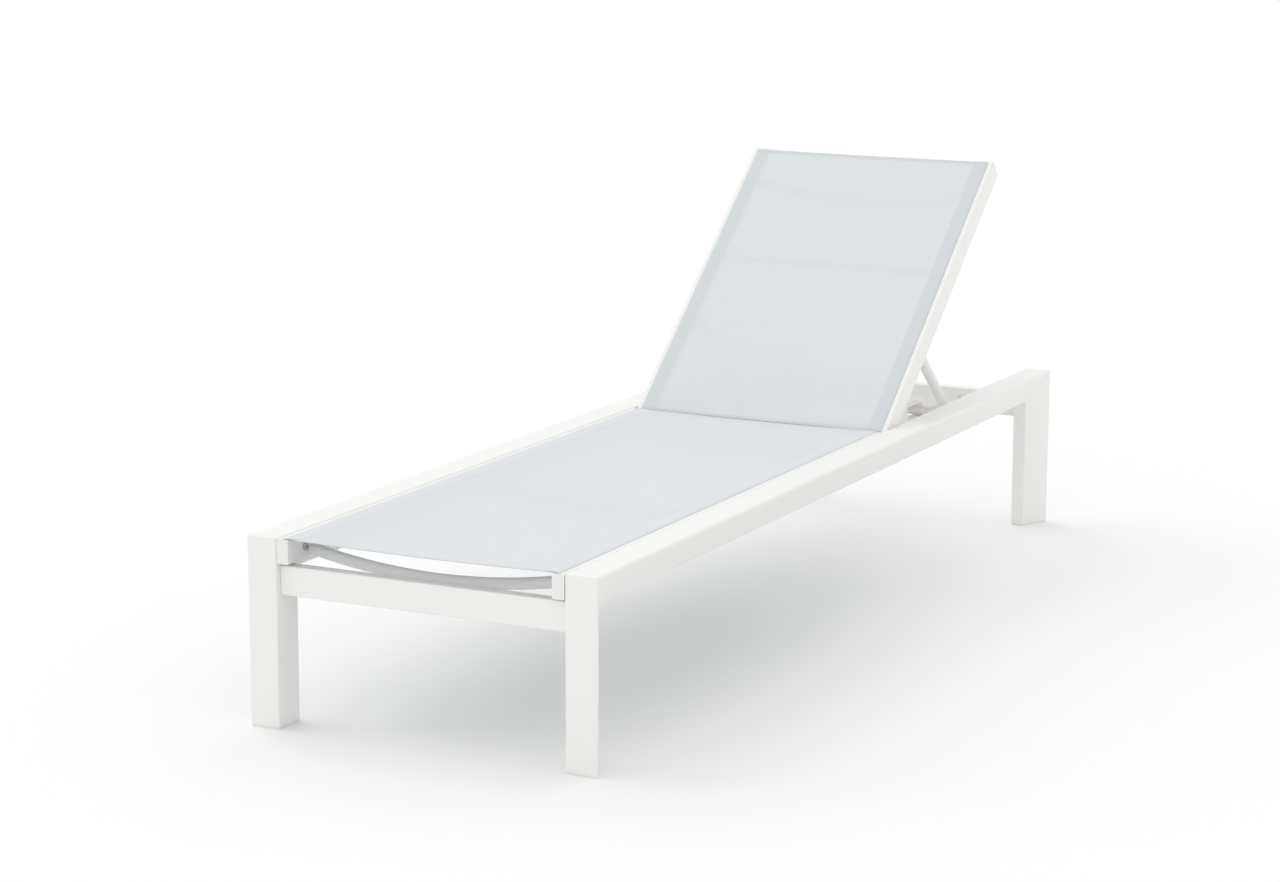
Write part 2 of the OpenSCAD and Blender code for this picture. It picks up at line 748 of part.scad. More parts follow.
module seat_rail_spacers() {
    color(nylon) for (side = sides, y = seat_bolt_places) {
        translate([side * (sling_rail_outer + sling_rail_gap / 2), y, seat_bolt_z]) difference() {
            rod_x(bush_flange_diameter, -sling_rail_gap / 2, sling_rail_gap / 2);
            rod_x(bolt_diameter + 2 * hole_clearance, -sling_rail_gap, sling_rail_gap);
        }
    }
}

module seat_rail_bolts() {
    color(steel) for (side = sides, y = seat_bolt_places) {
        mirror([side > 0 ? 0 : 1, 0, 0]) translate([sling_rail_inner, y, seat_bolt_z])
            bolt_x(bolt_diameter, sling_rail_width + sling_rail_gap + 3 * section_wall,
                   bolt_head_diameter, bolt_head_height, bolt_socket);
    }
}

module seat_rail_inserts() {
    color(steel) for (side = sides, y = seat_bolt_places) {
        mirror([side > 0 ? 0 : 1, 0, 0]) translate([rail_inner, y, seat_bolt_z])
            wall_insert(bolt_diameter, section_wall);
    }
}

// Backrest hinge

hinge_head_x = sling_rail_inner - bush_flange_thickness - side_play;

module hinge_bolts() {
    color(steel) for (side = sides) mirror([side > 0 ? 0 : 1, 0, 0])
        translate([hinge_head_x, hinge_y, hinge_z])
            bolt_x(bolt_diameter, rail_inner - hinge_head_x + 3 * section_wall,
                   bolt_head_diameter, bolt_head_height, bolt_socket);
}

module hinge_inserts() {
    color(steel) for (side = sides) mirror([side > 0 ? 0 : 1, 0, 0])
        translate([rail_inner, hinge_y, hinge_z]) wall_insert(bolt_diameter, section_wall);
}

module hinge_bushes() {
    sleeve = sling_rail_width / 2 - side_play;
    color(dark_nylon) on_back() for (side = sides) mirror([side > 0 ? 0 : 1, 0, 0]) {
        translate([sling_rail_inner, 0, 0])
            flanged_bush(bush_bore, bush_diameter, bush_flange_diameter, bush_flange_thickness, sleeve);
        translate([sling_rail_outer, 0, 0]) mirror([1, 0, 0])
            flanged_bush(bush_bore, bush_diameter, bush_flange_diameter, sling_rail_gap - side_play, sleeve);
    }
}

// Backrest, drawn flat with the hinge pin at the origin

module back_rail(side) {
    on_back() difference() {
        translate([side * sling_rail_centre, 0, hinge_depth])
            along_y(-back_rail_heel + sling_cap_thickness, back_rail_reach - sling_cap_thickness)
                sling_rail_section();
        rail_bore_x(side, bush_diameter + 2 * hole_clearance);
        translate([0, stay_length, 0])
            back_inner_wall_hole(side, insert_diameter(bolt_diameter) + 2 * hole_clearance);
    }
}

module back_inner_wall_hole(side, diameter) {
    translate([side * (sling_rail_inner + sling_rail_wall / 2), 0, 0])
        rod_x(diameter, -sling_rail_wall / 2 - overrun, sling_rail_wall / 2 + overrun);
}

module left_back_rail() { color(white_coat) back_rail(-1); }
module right_back_rail() { color(white_coat) back_rail(1); }

module back_rail_caps() {
    color(white_coat) on_back() for (side = sides) difference() {
        translate([side * sling_rail_centre, 0, hinge_depth]) {
            sling_cap(-back_rail_heel, -1);
            sling_cap(back_rail_reach, 1);
        }
        rail_bore_x(side, bush_diameter + 2 * hole_clearance);
    }
}

module back_middle_bar() {
    color(shaded_coat) on_back() translate([0, back_bar_reach, hinge_depth - back_bar_depth]) difference() {
        rod_x(back_bar_diameter, -sling_rail_inner, sling_rail_inner);
        rod_x(back_bar_diameter - 2 * tube_wall, -sling_rail_inner - overrun, sling_rail_inner + overrun);
    }
}

module back_top_bow() {
    color(shaded_coat) on_back() translate([0, back_bow_reach, hinge_depth - back_bow_depth])
        bow(back_bow_drop, bow_diameter);
}

module back_splines() {
    color(dark_nylon) on_back() for (side = sides)
        translate([side * sling_rail_centre, 0, hinge_depth - groove_depth])
            along_y(-back_rail_heel + overrun, back_rail_reach - overrun) circle(d = spline_diameter);
}

module backrest_sling() {
    color(fabric_blue_grey) on_back() translate([0, 0, hinge_depth])
        sling_sheet(back_fabric_start, back_fabric_end, back_edge_sag, back_middle_sag);
}

// Prop stay, drawn flat with its pivot at the origin and its bar at +Y

stay_head_x = stay_x - stay_diameter / 2 - bush_flange_thickness - side_play;

module stay_bolts() {
    color(steel) on_back() translate([0, stay_length, 0]) for (side = sides) mirror([side > 0 ? 0 : 1, 0, 0])
        translate([stay_head_x, 0, 0])
            bolt_x(bolt_diameter, sling_rail_inner - stay_head_x + 3 * sling_rail_wall,
                   bolt_head_diameter, bolt_head_height, bolt_socket);
}

module stay_inserts() {
    color(steel) on_back() translate([0, stay_length, 0]) for (side = sides) mirror([side > 0 ? 0 : 1, 0, 0])
        translate([sling_rail_inner, 0, 0]) wall_insert(bolt_diameter, sling_rail_wall);
}

module stay_sweep(diameter, tail) {
    straight = stay_length - stay_bend_radius;
    for (side = sides) {
        translate([side * stay_x, -tail, 0]) rotate([-90, 0, 0]) cylinder(d = diameter, h = straight + tail);
        mirror([side > 0 ? 0 : 1, 0, 0]) translate([stay_x - stay_bend_radius, straight, 0])
            rotate_extrude(angle = 90, $fn = 96)
                translate([stay_bend_radius, 0]) circle(d = diameter, $fn = 48);
    }
    translate([0, stay_length, 0]) rod_x(diameter, -stay_x + stay_bend_radius, stay_x - stay_bend_radius);
}

module prop_stay() {
    color(white_coat) on_stay() difference() {
        stay_sweep(stay_diameter, stay_tail);
        stay_sweep(stay_diameter - 2 * tube_wall, stay_tail + overrun);
        for (side = sides) translate([side * stay_x, 0, 0])
            rod_x(bush_diameter + 2 * hole_clearance, -stay_diameter, stay_diameter);
    }
}

module stay_bushes() {
    sleeve = stay_diameter / 2 - side_play;
    color(dark_nylon) on_stay() for (side = sides) mirror([side > 0 ? 0 : 1, 0, 0]) {
        translate([stay_x - stay_diameter / 2, 0, 0])
            flanged_bush(bush_bore, bush_diameter, bush_flange_diameter, bush_flange_thickness, sleeve);
        translate([stay_x + stay_diameter / 2, 0, 0]) mirror([1, 0, 0])
            flanged_bush(bush_bore, bush_diameter, bush_flange_diameter, stay_side_gap - side_play, sleeve);
    }
}

module stay_plugs() {
    plug_reach = stay_tail - bush_diameter / 2 - overrun;
    color(white_coat) on_stay() for (side = sides)
        translate([side * stay_x, -stay_tail, 0]) rotate([-90, 0, 0]) {
        translate([0, 0, -sling_cap_thickness]) cylinder(d = stay_diameter, h = sling_cap_thickness);
        translate([0, 0, -overrun])
            cylinder(d = stay_diameter - 2 * tube_wall - 2 * hole_clearance, h = plug_reach + overrun);
    }
}

left_side_rail();
right_side_rail();
front_left_leg();
front_right_leg();
rear_left_leg();
rear_right_leg();
foot_glides();
front_crossbeam();
rear_crossbeam();
rack_crossbar();
left_rack();
right_rack();
rack_screws();
left_seat_rail();
right_seat_rail();
seat_rail_caps();
seat_foot_bow();
seat_middle_bow();
seat_head_bow();
seat_splines();
seat_sling();
seat_rail_spacers();
seat_rail_bolts();
seat_rail_inserts();
hinge_bolts();
hinge_inserts();
hinge_bushes();
left_back_rail();
right_back_rail();
back_rail_caps();
back_middle_bar();
back_top_bow();
back_splines();
backrest_sling();
stay_bolts();
stay_inserts();
prop_stay();
stay_bushes();
stay_plugs();
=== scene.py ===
"""Sun lounger with a stretched seat and a reclining stretched backrest.

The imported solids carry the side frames, the sling rails, the racks, the prop
stay and the fittings, and keep their shapes here. This script dresses them,
makes the two woven slings that replace the plain ones, and stands the lounger
on a pale studio floor.

Everything is in metres: X runs across the lounger, Y from the foot end to the
head end, and Z up.
"""

from __future__ import annotations

import json
import logging
import math
from dataclasses import dataclass, field
from enum import Enum
from typing import Sequence

import bmesh
import bpy
from mathutils import Matrix, Vector, noise

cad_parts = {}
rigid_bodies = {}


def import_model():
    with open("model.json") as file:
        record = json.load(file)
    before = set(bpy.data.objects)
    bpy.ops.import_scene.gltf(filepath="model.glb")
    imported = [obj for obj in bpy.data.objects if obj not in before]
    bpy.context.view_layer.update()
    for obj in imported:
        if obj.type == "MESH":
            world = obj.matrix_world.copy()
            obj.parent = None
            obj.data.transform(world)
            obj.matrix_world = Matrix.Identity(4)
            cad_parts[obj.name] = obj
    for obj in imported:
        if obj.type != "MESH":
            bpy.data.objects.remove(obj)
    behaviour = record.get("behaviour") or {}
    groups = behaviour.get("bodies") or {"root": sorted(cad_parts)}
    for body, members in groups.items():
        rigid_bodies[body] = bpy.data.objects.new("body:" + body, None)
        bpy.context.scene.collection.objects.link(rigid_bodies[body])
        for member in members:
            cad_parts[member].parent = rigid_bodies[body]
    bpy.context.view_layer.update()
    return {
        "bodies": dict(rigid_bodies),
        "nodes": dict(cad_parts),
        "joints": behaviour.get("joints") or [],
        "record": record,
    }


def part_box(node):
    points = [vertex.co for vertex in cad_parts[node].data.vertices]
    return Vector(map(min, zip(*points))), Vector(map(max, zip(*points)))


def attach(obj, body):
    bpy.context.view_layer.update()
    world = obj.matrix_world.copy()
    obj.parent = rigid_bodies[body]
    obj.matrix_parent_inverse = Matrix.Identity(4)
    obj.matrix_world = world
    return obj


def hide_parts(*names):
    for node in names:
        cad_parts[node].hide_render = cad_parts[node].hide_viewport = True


LOG = logging.getLogger("sun_lounger")
MM = 0.001

TUCKED = 2.0
"""The turn of a sling's tucked edge; a turn of 1 is the end of its quarter turn."""

POCKET_RING = ((0.08, 0), (0.5, 0), (1.0, 0), (1.0, 1), (0.5, 1), (0.08, 1))
"""A pocket's ring: shares of its width from the groove, and 1 for its upper side."""

STITCH_RINGS = ((0.0, 0.35), (0.3, 1.0), (0.7, 1.0), (1.0, 0.35))
"""A stitch's rings: shares of its length and of its thickness."""

STITCH_SIDES = 6

Colour = tuple[float, float, float]
Row = list[bmesh.types.BMVert]
Grid = list[Row]
Faces = list[bmesh.types.BMFace]


class Side(Enum):
    """The two sides of the lounger, seen from the foot end."""

    LEFT = -1
    RIGHT = 1


class Slot(Enum):
    """The record's material slots."""

    WHITE_COAT = "white_coat"
    WHITE_NYLON = "white_nylon"
    DARK_NYLON = "dark_nylon"
    SLING_FABRIC = "sling_fabric"
    STEEL = "steel"


class Body(Enum):
    """The bodies that pieces ride on."""

    FRAME = "frame"
    BACKREST = "backrest"
    STAY = "stay"


class Cloth(Enum):
    """The woven sheets' material slots, in their order on the mesh."""

    WEAVE = 0
    HEM = 1
    UNDER = 2


class ShaderGraph:
    """A material's node tree, with short calls for the nodes used here."""

    def __init__(self, name: str) -> None:
        """Starts a material with a Principled shader.

        Args:
            name: The material's name.
        """
        self.material = bpy.data.materials.new(name)
        self.material.use_nodes = True
        self.nodes = self.material.node_tree.nodes
        self.links = self.material.node_tree.links
        self.surface = self.nodes["Principled BSDF"]

    def add(self, kind: str, inputs: dict | None = None, **settings: object) -> bpy.types.Node:
        """Adds a node.

        Args:
            kind: The node's type without its ShaderNode prefix.
            inputs: Values or output sockets by input name or number.
            **settings: Properties of the node.

        Returns:
            The new node.
        """
        node = self.nodes.new(f"ShaderNode{kind}")
        for key, value in settings.items():
            setattr(node, key, value)
        for key, value in (inputs or {}).items():
            if isinstance(value, bpy.types.NodeSocket):
                self.links.new(value, node.inputs[key])
            else:
                node.inputs[key].default_value = value
        return node

    def maths(self, operation: str, *values: object) -> bpy.types.NodeSocket:
        """Adds a Math node and returns its result.

        Args:
            operation: The node's operation, such as MULTIPLY.
            *values: Numbers or output sockets, in order.

        Returns:
            The result's socket.
        """
        node = self.add("Math", dict(enumerate(values)), operation=operation)
        return node.outputs[0]

    def remap(self, value: bpy.types.NodeSocket, low: float, high: float) -> bpy.types.NodeSocket:
        """Stretches a socket's zero-to-one value to run from low to high."""
        node = self.add("MapRange", {"Value": value, "To Min": low, "To Max": high})
        return node.outputs["Result"]

    def blend(self, factor: bpy.types.NodeSocket, first: Colour, second: Colour) -> bpy.types.NodeSocket:
        """Mixes two colours by a socket's value and returns the colour."""
        node = self.add("Mix", data_type="RGBA")
        self.links.new(factor, node.inputs["Factor"])
        node.inputs["A"].default_value = (*first, 1.0)
        node.inputs["B"].default_value = (*second, 1.0)
        return node.outputs["Result"]

    def noise(self, vector: bpy.types.NodeSocket, scale: float, detail: float = 2.0) -> bpy.types.NodeSocket:
        """Adds a noise texture and returns its value."""
        return self.add("TexNoise", {"Vector": vector, "Scale": scale, "Detail": detail}).outputs["Fac"]

    def stretched(self, vector: bpy.types.NodeSocket, scale: Sequence[float]) -> bpy.types.NodeSocket:
        """Scales a coordinate by axis and returns the new coordinate."""
        return self.add("Mapping", {"Vector": vector, "Scale": tuple(scale)}).outputs["Vector"]

    def bump(self, height: bpy.types.NodeSocket, strength: float, distance: float) -> None:
        """Bumps the surface by a height."""
        node = self.add("Bump", {"Height": height, "Strength": strength, "Distance": distance})
        self.links.new(node.outputs["Normal"], self.surface.inputs["Normal"])

    def set(self, **values: object) -> None:
        """Sets the shader's inputs; an underscore in a name stands for a space.

        Args:
            **values: Values or output sockets by input name.
        """
        for key, value in values.items():
            socket = self.surface.inputs[key.replace("_", " ")]
            if isinstance(value, bpy.types.NodeSocket):
                self.links.new(value, socket)
            else:
                socket.default_value = value

    @property
    def place(self) -> bpy.types.NodeSocket:
        """The object's own coordinates, in metres."""
        return self.add("TexCoord").outputs["Object"]

    @property
    def cloth_place(self) -> bpy.types.NodeSocket:
        """The cloth's coordinates, in metres across and along it."""
        return self.add("TexCoord").outputs["UV"]


@dataclass(frozen=True)
class PowderCoat:
    """Satin white powder coat over metal, with its fine orange peel."""

    name: str = "white_powder_coat"
    colour: Colour = (0.865, 0.868, 0.845)
    faded: Colour = (0.845, 0.848, 0.82)
    cloud_scale: float = 7.0
    peel_scale: float = 900.0
    peel_height: float = 0.05 * MM
    peel_strength: float = 0.35
    roughness: tuple[float, float] = (0.36, 0.46)
    specular: float = 0.45

    def material(self) -> bpy.types.Material:
        """Makes the coat's material."""
        graph = ShaderGraph(self.name)
        clouds = graph.noise(graph.place, self.cloud_scale, 4.0)
        peel = graph.noise(graph.place, self.peel_scale, 2.0)
        graph.set(
            Base_Color=graph.blend(clouds, self.faded, self.colour),
            Roughness=graph.remap(graph.noise(graph.place, self.cloud_scale * 3, 3.0), *self.roughness),
            Specular_IOR_Level=self.specular,
        )
        graph.bump(peel, self.peel_strength, self.peel_height)
        return graph.material


@dataclass(frozen=True)
class SlingWeave:
    """Open plain weave of coated yarn, in metres of cloth, darker where the yarns dip under their crossings as
    painted shade.
    """

    name: str = "sling_weave"
    yarn: Colour = (0.76, 0.793, 0.816)
    # Colour where the yarns dip under their crossings: painted shade between the yarns.
    shaded_gap: Colour = (0.62, 0.654, 0.681)
    warp_pitch: float = 1.3 * MM
    weft_pitch: float = 1.1 * MM
    yarn_height: float = 0.25 * MM
    yarn_strength: float = 0.5
    crimp: float = 0.35
    streak_depth: float = 0.14
    streak_scale: tuple[float, float] = (6.0, 260.0)
    roughness: float = 0.62
    specular: float = 0.3
    sheen: float = 0.08
    sheen_roughness: float = 0.4
    openness: float = 0.07

    def material(self) -> bpy.types.Material:
        """Makes the weave's material."""
        graph = ShaderGraph(self.name)
        place = graph.cloth_place
        axes = graph.add("SeparateXYZ", {0: place})
        across = graph.maths("MULTIPLY", axes.outputs[0], math.pi / self.warp_pitch)
        along = graph.maths("MULTIPLY", axes.outputs[1], math.pi / self.weft_pitch)
        warp = graph.maths("ABSOLUTE", graph.maths("SINE", across))
        weft = graph.maths("ABSOLUTE", graph.maths("SINE", along))
        turn = graph.maths("MULTIPLY", graph.maths("COSINE", across), graph.maths("COSINE", along))
        over = graph.maths("MULTIPLY", warp, graph.maths("MULTIPLY_ADD", turn, self.crimp, 1.0 - self.crimp))
        under = graph.maths("MULTIPLY", weft, graph.maths("MULTIPLY_ADD", turn, -self.crimp, 1.0 - self.crimp))
        height = graph.maths("MAXIMUM", over, under)
        long, fine = self.streak_scale
        weft_streaks = graph.noise(graph.stretched(place, (long, fine, 1.0)), 1.0, 3.0)
        warp_streaks = graph.noise(graph.stretched(place, (fine, long, 1.0)), 1.0, 3.0)
        streaks = graph.maths("SUBTRACT", graph.maths("ADD", weft_streaks, warp_streaks), 1.0)
        # The colour runs from the yarn's own colour down to painted shade where the yarns dip, with real slub
        # streaks on top.
        shade = graph.maths("MULTIPLY_ADD", streaks, self.streak_depth, height)
        graph.set(
            Base_Color=graph.blend(shade, self.shaded_gap, self.yarn),
            Roughness=self.roughness,
            Specular_IOR_Level=self.specular,
            Sheen_Weight=self.sheen,
            Sheen_Roughness=self.sheen_roughness,
            Alpha=1.0 - self.openness,
        )
        graph.bump(height, self.yarn_strength, self.yarn_height)
        return graph.material


@dataclass(frozen=True)
class Moulded:
    """Moulded nylon with a fine spark-eroded grain."""

    name: str
    colour: Colour
    grain_scale: float = 1400.0
    grain_height: float = 0.03 * MM
    grain_strength: float = 0.4
    cloud_scale: float = 60.0
    darkest: float = 0.94
    roughness: tuple[float, float] = (0.44, 0.56)

    def material(self) -> bpy.types.Material:
        """Makes the moulded material."""
        graph = ShaderGraph(self.name)
        grain = graph.noise(graph.place, self.grain_scale, 2.0)
        darker = tuple(self.darkest * value for value in self.colour)
        graph.set(
            Base_Color=graph.blend(graph.noise(graph.place, self.cloud_scale, 3.0), darker, self.colour),
            Roughness=graph.remap(grain, *self.roughness),
        )
        graph.bump(grain, self.grain_strength, self.grain_height)
        return graph.material


@dataclass(frozen=True)
class PlatedSteel:
    """Zinc-plated steel of the bolts, screws and inserts."""

    name: str = "plated_steel"
    colour: Colour = (0.60, 0.61, 0.61)
    turned_scale: float = 2500.0
    turned_height: float = 0.02 * MM
    turned_strength: float = 0.2
    darkest: float = 0.8
    roughness: tuple[float, float] = (0.24, 0.42)

    def material(self) -> bpy.types.Material:
        """Makes the plating's material."""
        graph = ShaderGraph(self.name)
        turned = graph.noise(graph.stretched(graph.place, (1.0, 0.15, 0.15)), self.turned_scale, 3.0)
        darker = tuple(self.darkest * value for value in self.colour)
        graph.set(
            Base_Color=graph.blend(turned, darker, self.colour),
            Roughness=graph.remap(turned, *self.roughness),
            Metallic=1.0,
        )
        graph.bump(turned, self.turned_strength, self.turned_height)
        return graph.material


@dataclass
class Finishes:
    """The lounger's materials: one for each of the record's slots, and those of a few pieces."""

    by_slot: dict[Slot, bpy.types.Material] = field(default_factory=dict)
    by_node: dict[str, bpy.types.Material] = field(default_factory=dict)
    weave_under: bpy.types.Material | None = None
    seat_hem: bpy.types.Material | None = None
    back_hem_shaded: bpy.types.Material | None = None

    def make(self) -> Finishes:
        """Makes every material.

        Returns:
            The finishes themselves.
        """
        self.by_slot = {
            Slot.WHITE_COAT: PowderCoat().material(),
            Slot.WHITE_NYLON: Moulded("white_moulded_nylon", (0.84, 0.845, 0.825)).material(),
            Slot.DARK_NYLON: Moulded("dark_moulded_nylon", (0.05, 0.053, 0.058)).material(),
            Slot.SLING_FABRIC: SlingWeave().material(),
            Slot.STEEL: PlatedSteel().material(),
        }
        # The racks sit in shade under the backrest; their nylon is set brighter and warmer than the white nylon
        # as painted light.
        racks = Moulded("rack_nylon_painted_light", (0.9, 0.865, 0.845)).material()
        self.by_node = {"left_rack": racks, "right_rack": racks}
        self.weave_under = SlingWeave("sling_weave_under", openness=0.5).material()
        # Both hems are doubled cloth a little darker than the weave; the backrest's hem is set darker still as
        # painted shade.
        self.back_hem_shaded = SlingWeave(
            "back_hem_painted_shade", yarn=(0.688, 0.721, 0.741), shaded_gap=(0.559, 0.592, 0.611), openness=0.0
        ).material()
        self.seat_hem = SlingWeave(
            "seat_hem_weave", yarn=(0.742, 0.775, 0.797), shaded_gap=(0.607, 0.638, 0.664), openness=0.0
        ).material()
        return self

    def dress_nodes(self, frame: dict) -> int:
        """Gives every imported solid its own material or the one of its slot.


        Returns:
            How many solids were dressed.
        """
        slots = {part["node"]: Slot(part["material_slot"]) for part in frame["record"]["subparts"]}
        for name, node in frame["nodes"].items():
            node.data.materials.clear()
            node.data.materials.append(self.by_node.get(name, self.by_slot[slots[name]]))
        return len(frame["nodes"])


@dataclass
class SlingSheet:
    """A stretched sling: a woven sheet with side hems, end hems and stitching.

    The sheet is drawn flat, with X across, Y along and Z up from the top of
    its rails, and its placement moves it to the seat or the backrest. Its side
    hems are pockets for the splines, whose mouths stand open at the free end.
    """

    name: str
    node: str
    body: Body
    placement: Matrix
    groove_x: float
    rail_inner_x: float
    start: float
    end: float
    edge_sag: float
    middle_sag: float
    free_end: float
    rests_on: tuple[str, ...]
    thickness: float = 1.2 * MM
    lift: float = 0.3 * MM
    side_hem: float = 29 * MM
    end_hem: float = 9 * MM
    hem_step: float = 0.15 * MM
    hem_slope: float = 1.5 * MM
    hem_span: float = 8 * MM
    least_hem_spans: int = 2
    ripple_height: float = 0.25 * MM
    ripple_scale: tuple[float, float] = (9.0, 5.0)
    ripple_layer: float = 3.0
    roll_start: float = 1.0 * MM
    roll_radius: float = 2.15 * MM
    roll_steps: int = 4
    slot_reach: float = 3.5 * MM
    mouth_lift: float = 1.1 * MM
    mouth_depth: float = 26 * MM
    pocket_width: float = 27 * MM
    pocket_thickness: float = 0.35 * MM
    pocket_gap: float = 0.08 * MM
    pocket_taper: float = 0.5
    pocket_depths: tuple[float, ...] = (0.6 * MM, 2 * MM, 8 * MM, 16 * MM)
    columns: int = 48
    rows: int = 72
    stitch_pitch: float = 4.2 * MM
    stitch_gap: float = 1.2 * MM
    stitch_inset: float = 0.15
    stitch_row: float = 0.72
    stitch_flatness: float = 0.5
    thread: float = 0.45 * MM

    def middle_height(self, x: float, y: float) -> float:
        """The height of the sheet's underside, above the rails' top.

        Args:
            x: Distance across from the middle.
            y: Distance along the sheet.

        Returns:
            The height, which is negative where the sheet sags.
        """
        share = 2 * (y - self.start) / (self.end - self.start) - 1
        sag = self.edge_sag + (self.middle_sag - self.edge_sag) * (1 - share**2)
        reach = max(0.0, 1 - (x / self.rail_inner_x) ** 2)
        across, along = self.ripple_scale
        ripple = self.ripple_height * noise.noise(Vector((x * across, y * along, self.ripple_layer)))
        return self.lift - sag * reach + ripple * reach + self.mouth_rise(x, y)

    def mouth_rise(self, x: float, y: float) -> float:
        """How far the sheet stands up over the open mouth of a side pocket."""
        near = max(0.0, 1 - abs(y - self.free_end) / self.mouth_depth)
        share = (self.groove_x - abs(x)) / self.pocket_width
        over = math.sin(math.pi * share) if 0 < share < 1 else 0.0
        return self.mouth_lift * near**2 * math.sqrt(over)

    def is_hem(self, x: float, y: float) -> bool:
        """Says whether a place on the sheet is in one of its hems."""
        in_side = abs(x) > self.groove_x - self.side_hem
        return in_side or y < self.start + self.end_hem or y > self.end - self.end_hem

    def stations(self, low: float, high: float, hem: float, count: int) -> list[float]:
        """Places across or along the sheet, with a step at each hem's edge.

        Args:
            low: The first place.
            high: The last place.
            hem: The hem's width at both ends.
            count: How many spans lie between the hems.

        Returns:
            The places in order.
        """
        step = self.hem_slope
        inner_low, inner_high = low + hem, high - hem
        hem_spans = max(self.least_hem_spans, round(hem / self.hem_span))
        first = [low + (hem - step) * i / hem_spans for i in range(hem_spans + 1)]
        middle = [inner_low + step + (inner_high - inner_low - 2 * step) * i / count for i in range(count + 1)]
        last = [inner_high + step + (hem - step) * i / hem_spans for i in range(hem_spans + 1)]
        return first + middle + last

    def profile(self) -> list[tuple[float, float | None]]:
        """Places across the sheet, each with its turn into the slot, or None where it lies flat."""
        xs = self.stations(-self.groove_x, self.groove_x, self.side_hem, self.columns)
        flat_x = self.groove_x - self.roll_start
        flat = [(x, None) for x in xs if abs(x) <= flat_x]
        turns = [i / self.roll_steps for i in range(self.roll_steps + 1)] + [TUCKED]
        return [(-flat_x, turn) for turn in reversed(turns)] + flat + [(flat_x, turn) for turn in turns]

    def surface(self, x: float, y: float, turn: float | None, upper: bool) -> tuple[Vector, float]:
        """A place on the sheet's surface.

        Args:
            x: The profile's place across.
            y: The place along.
            turn: The profile's turn.
            upper: True for the sheet's upper surface.

        Returns:
            The place in the lounger's frame, and its place across the flat cloth.
        """
        if turn is None:
            thick = self.thickness + (self.hem_step if self.is_hem(x, y) else 0.0)
            across, height, flat = x, self.middle_height(x, y) + (thick if upper else 0.0), x
        else:
            across, height, flat = self.rolled(x, turn, upper)
        return self.placement @ Vector((across, y, height)), flat

    def sheet_mesh(self) -> bpy.types.Mesh:
        """Makes the closed woven sheet, with its edges turned down into the rails' slots."""
        ys = self.stations(self.start, self.end, self.end_hem, self.rows)
        build = bmesh.new()
        uv_layer = build.loops.layers.uv.new("cloth")
        places: dict[bmesh.types.BMVert, tuple[float, float]] = {}
        grids: list[Grid] = []
        for upper in (False, True):
            grid = []
            for y in ys:
                row = []
                for x, turn in self.profile():
                    place, flat = self.surface(x, y, turn, upper)
                    vert = build.verts.new(place)
                    places[vert] = (flat, y - self.start)
                    row.append(vert)
                grid.append(row)
            grids.append(grid)
        faces, under = join_layers(build, *grids)
        for face in faces:
            centre_x = sum(places[v][0] for v in face.verts) / 4
            centre_y = sum(places[v][1] for v in face.verts) / 4
            plain = Cloth.UNDER if face in under else Cloth.WEAVE
            cloth = Cloth.HEM if self.is_hem(centre_x, self.start + centre_y) else plain
            face.material_index = cloth.value
            face.smooth = True
            for loop in face.loops:
                loop[uv_layer].uv = places[loop.vert]
        LOG.info("%s: %d by %d mm", self.name, round(2 * self.groove_x / MM), round((self.end - self.start) / MM))
        return closed_mesh(self.name, build)

    def rolled(self, x: float, turn: float, upper: bool) -> tuple[float, float, float]:
        """A place on the edge that rolls down into the rail's slot.

        Args:
            x: Where the roll starts, across from the middle.
            turn: The share of the quarter turn, or more for the tucked end.
            upper: True for the sheet's upper surface.

        Returns:
            The place across, its height, and its place across the flat cloth.
        """
        radius = self.roll_radius - (0.0 if upper else self.thickness)
        centre_z = self.lift + self.thickness - self.roll_radius
        angle = 0.5 * math.pi * min(turn, 1.0)
        height = -self.slot_reach if turn > 1.0 else centre_z + radius * math.cos(angle)
        reach = self.slot_reach * turn / TUCKED + self.roll_start
        return x + math.copysign(radius * math.sin(angle), x), height, x + math.copysign(reach, x)

    def pocket_mesh(self) -> bpy.types.Mesh:
        """Makes the lower layers of the two side pockets, which their mouths show."""
        build = bmesh.new()
        inward = 1.0 if self.free_end == self.start else -1.0
        for side in Side:
            rings = []
            for depth in (*self.pocket_depths, self.mouth_depth):
                y = self.free_end + inward * depth
                thick = self.pocket_thickness * (1.0 - self.pocket_taper * depth / self.mouth_depth)
                ring = []
                for share, top in POCKET_RING:
                    x = side.value * (self.groove_x - share * self.pocket_width)
                    ring.append(build.verts.new(self.placement @ Vector((x, y, self.pocket_gap + top * thick))))
                rings.append(ring)
            add_tube(build, rings)
        return closed_mesh(f"{self.name}_pockets", build)

    def stitch_mesh(self) -> bpy.types.Mesh:
        """Makes the two rows of stitches that close the end hems."""
        build = bmesh.new()
        reach = self.groove_x - self.side_hem * self.stitch_inset
        length = self.stitch_pitch - self.stitch_gap
        inset = self.end_hem * self.stitch_row
        for y in (self.start + inset, self.end - inset):
            for i in range(int(2 * reach / self.stitch_pitch)):
                rings = []
                for share, fat in STITCH_RINGS:
                    x = -reach + i * self.stitch_pitch + length * share
                    top = self.middle_height(x, y) + self.thickness + self.hem_step
                    ring = []
                    for k in range(STITCH_SIDES):
                        angle = math.tau * k / STITCH_SIDES
                        offset = Vector((0.0, math.cos(angle), self.stitch_flatness * math.sin(angle)))
                        place = Vector((x, y, top)) + offset * self.thread * fat
                        ring.append(build.verts.new(self.placement @ place))
                    rings.append(ring)
                add_tube(build, rings)
        for face in build.faces:
            face.smooth = True
        return closed_mesh(f"{self.name}_stitches", build)

